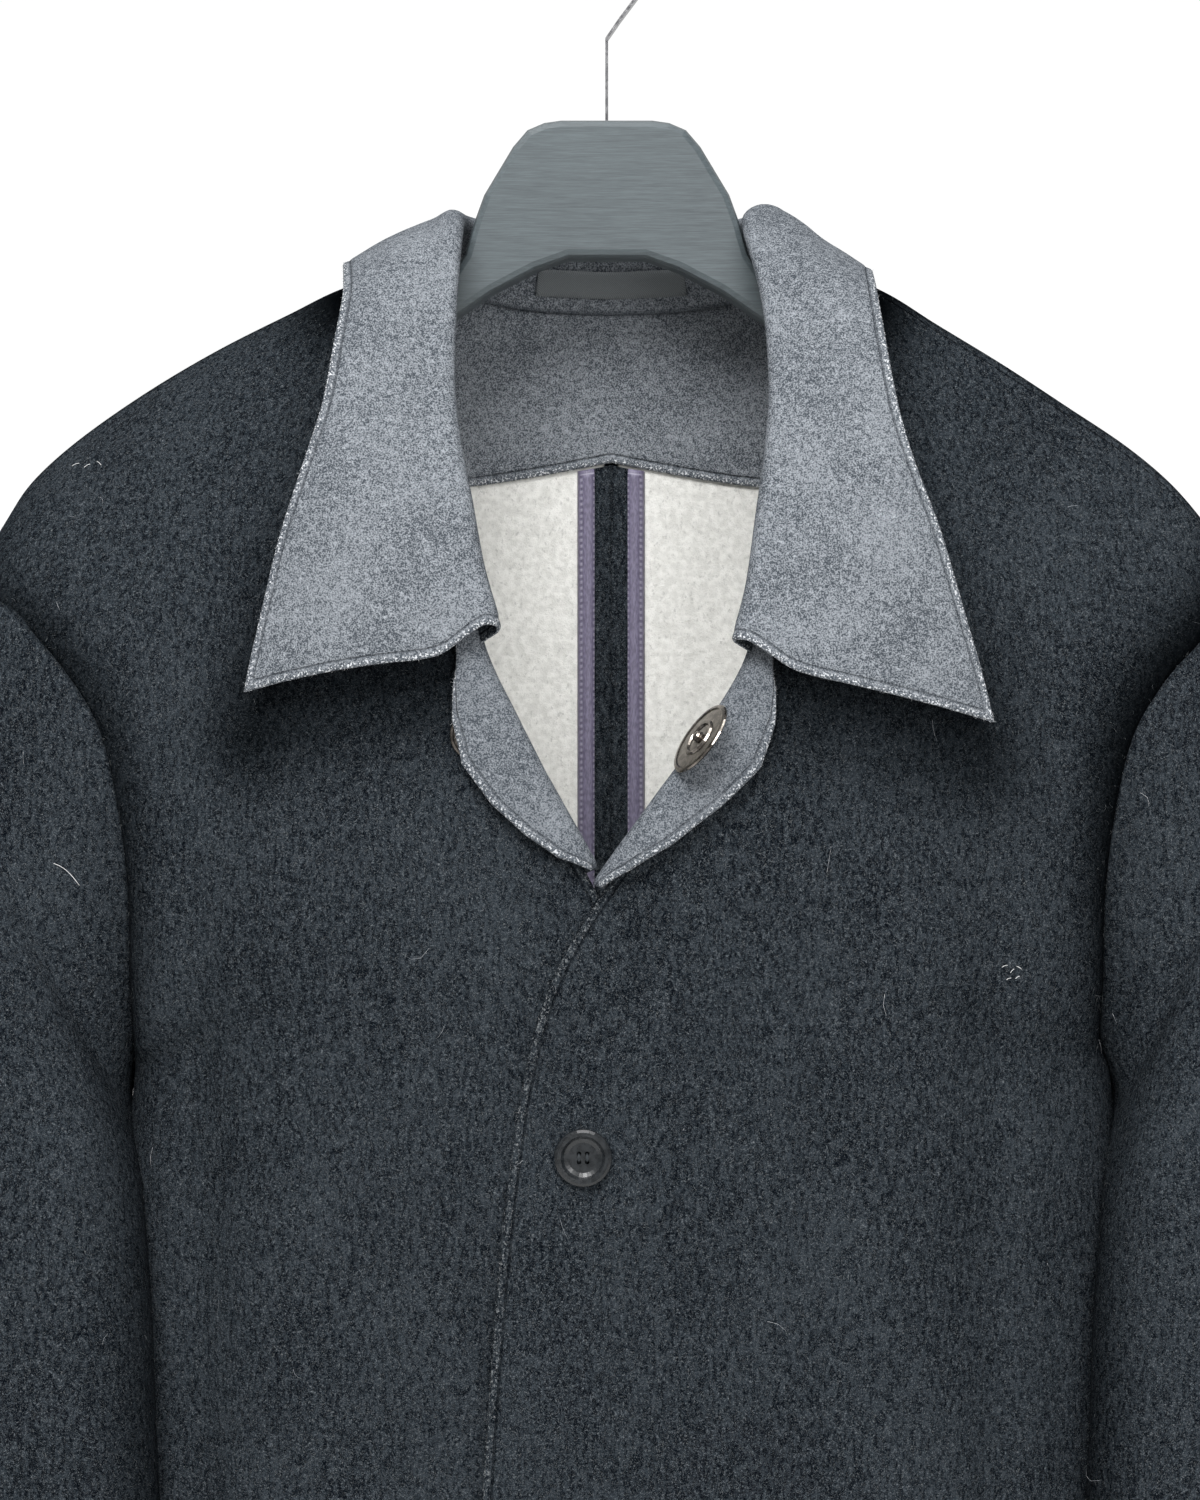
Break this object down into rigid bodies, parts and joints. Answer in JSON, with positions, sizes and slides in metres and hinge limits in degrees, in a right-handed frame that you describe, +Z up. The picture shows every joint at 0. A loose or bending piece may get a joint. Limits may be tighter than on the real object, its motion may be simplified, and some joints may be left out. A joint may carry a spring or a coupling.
{
  "type": "chore jacket on a hanger",
  "caption": "Heavy wool chore jacket with a wide soft collar, hung open at the neck on a flat wooden hanger with a steel hook.",
  "frame": {"origin": "the inside top of the hanger's hook, where it sits on a rail", "axes": "+Z up, the front of the jacket faces -Y, +X is the viewer's right"},
  "size_m": [0.6688, 0.1798, 0.8972],
  "materials": {
    "coat": "brushed wool melton, dark blue-grey outside, cream inside",
    "flannel": "mid grey salt-and-pepper wool flannel",
    "tape": "dark grey twill tape",
    "binding": "mauve-grey bias binding, slightly glossy",
    "horn": "dark polished button",
    "gunmetal": "gunmetal plated",
    "wood": "slate-grey stained, satin",
    "steel": "bright steel strip"
  },
  "bodies": {
    "root": {"back_left": "coat", "back_right": "coat", "binding_left": "binding", "binding_right": "binding", "button_1": "horn", "button_2": "horn", "button_3": "horn", "collar": "flannel", "facing_left": "flannel", "facing_right": "flannel", "front_left": "coat", "front_right": "coat", "hanger": "wood", "hanger_loop": "tape", "hook": "steel", "neck_facing": "flannel", "seam_allowance_left": "coat", "seam_allowance_right": "coat", "sleeve_under_left": "coat", "sleeve_under_right": "coat", "sleeve_upper_left": "coat", "sleeve_upper_right": "coat", "snap_socket": "gunmetal", "snap_stud": "gunmetal", "undercollar": "coat"}
  },
  "joints": []
}
